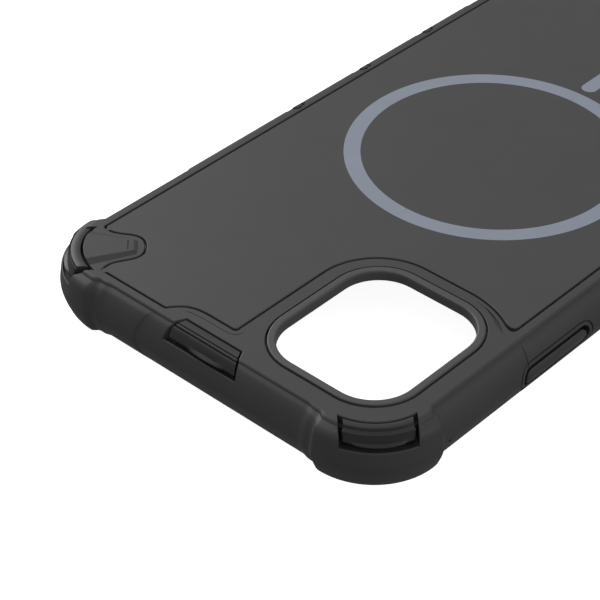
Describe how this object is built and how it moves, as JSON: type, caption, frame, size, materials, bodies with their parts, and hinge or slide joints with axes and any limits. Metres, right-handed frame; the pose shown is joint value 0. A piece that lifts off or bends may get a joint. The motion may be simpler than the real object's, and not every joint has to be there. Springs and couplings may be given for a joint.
{
  "type": "phone case",
  "caption": "Rugged two-material phone case with cushioned corners, a framed camera window, a magnetic back ring and sprung side buttons.",
  "frame": {"origin": "centre of the case's footprint, on the plane of the front rim that surrounds the screen", "axes": "+Z out of the back, -Y the camera end, +X the side with the camera window and the power button"},
  "size_m": [0.0842, 0.1606, 0.0116],
  "materials": {
    "soft_frame": "satin",
    "skeleton": "satin",
    "plate": "matte",
    "bezel": "satin",
    "print": "matte",
    "magnet": "satin",
    "film": "matte",
    "rib": "satin",
    "button": "satin"
  },
  "bodies": {
    "case": {"outer_frame": "soft_frame", "inner_shell": "skeleton", "back_plate": "plate", "camera_bezel": "bezel", "ring_inlay": "print", "bar_inlay": "print", "ring_magnets": "magnet", "bar_magnet": "magnet", "magnet_cover": "film", "rib_camera_corner": "rib", "rib_top_corner": "rib", "rib_port_corner_right": "rib", "rib_port_corner_left": "rib", "rib_top_end": "rib", "side_tabs_left": "rib", "side_tabs_right": "rib"},
    "power_key": {"power_button": "button"},
    "volume_up_key": {"volume_up_button": "button"},
    "volume_down_key": {"volume_down_button": "button"}
  },
  "joints": [
    {"name": "power_press", "type": "slide", "parent": "case", "child": "power_key", "axis": [-1, 0, 0], "range_m": [0, 0.0005], "stiffness_N_per_m": 3000},
    {"name": "volume_up_press", "type": "slide", "parent": "case", "child": "volume_up_key", "axis": [1, 0, 0], "range_m": [0, 0.0005], "stiffness_N_per_m": 3000},
    {"name": "volume_down_press", "type": "slide", "parent": "case", "child": "volume_down_key", "axis": [1, 0, 0], "range_m": [0, 0.0005], "stiffness_N_per_m": 3000}
  ]
}
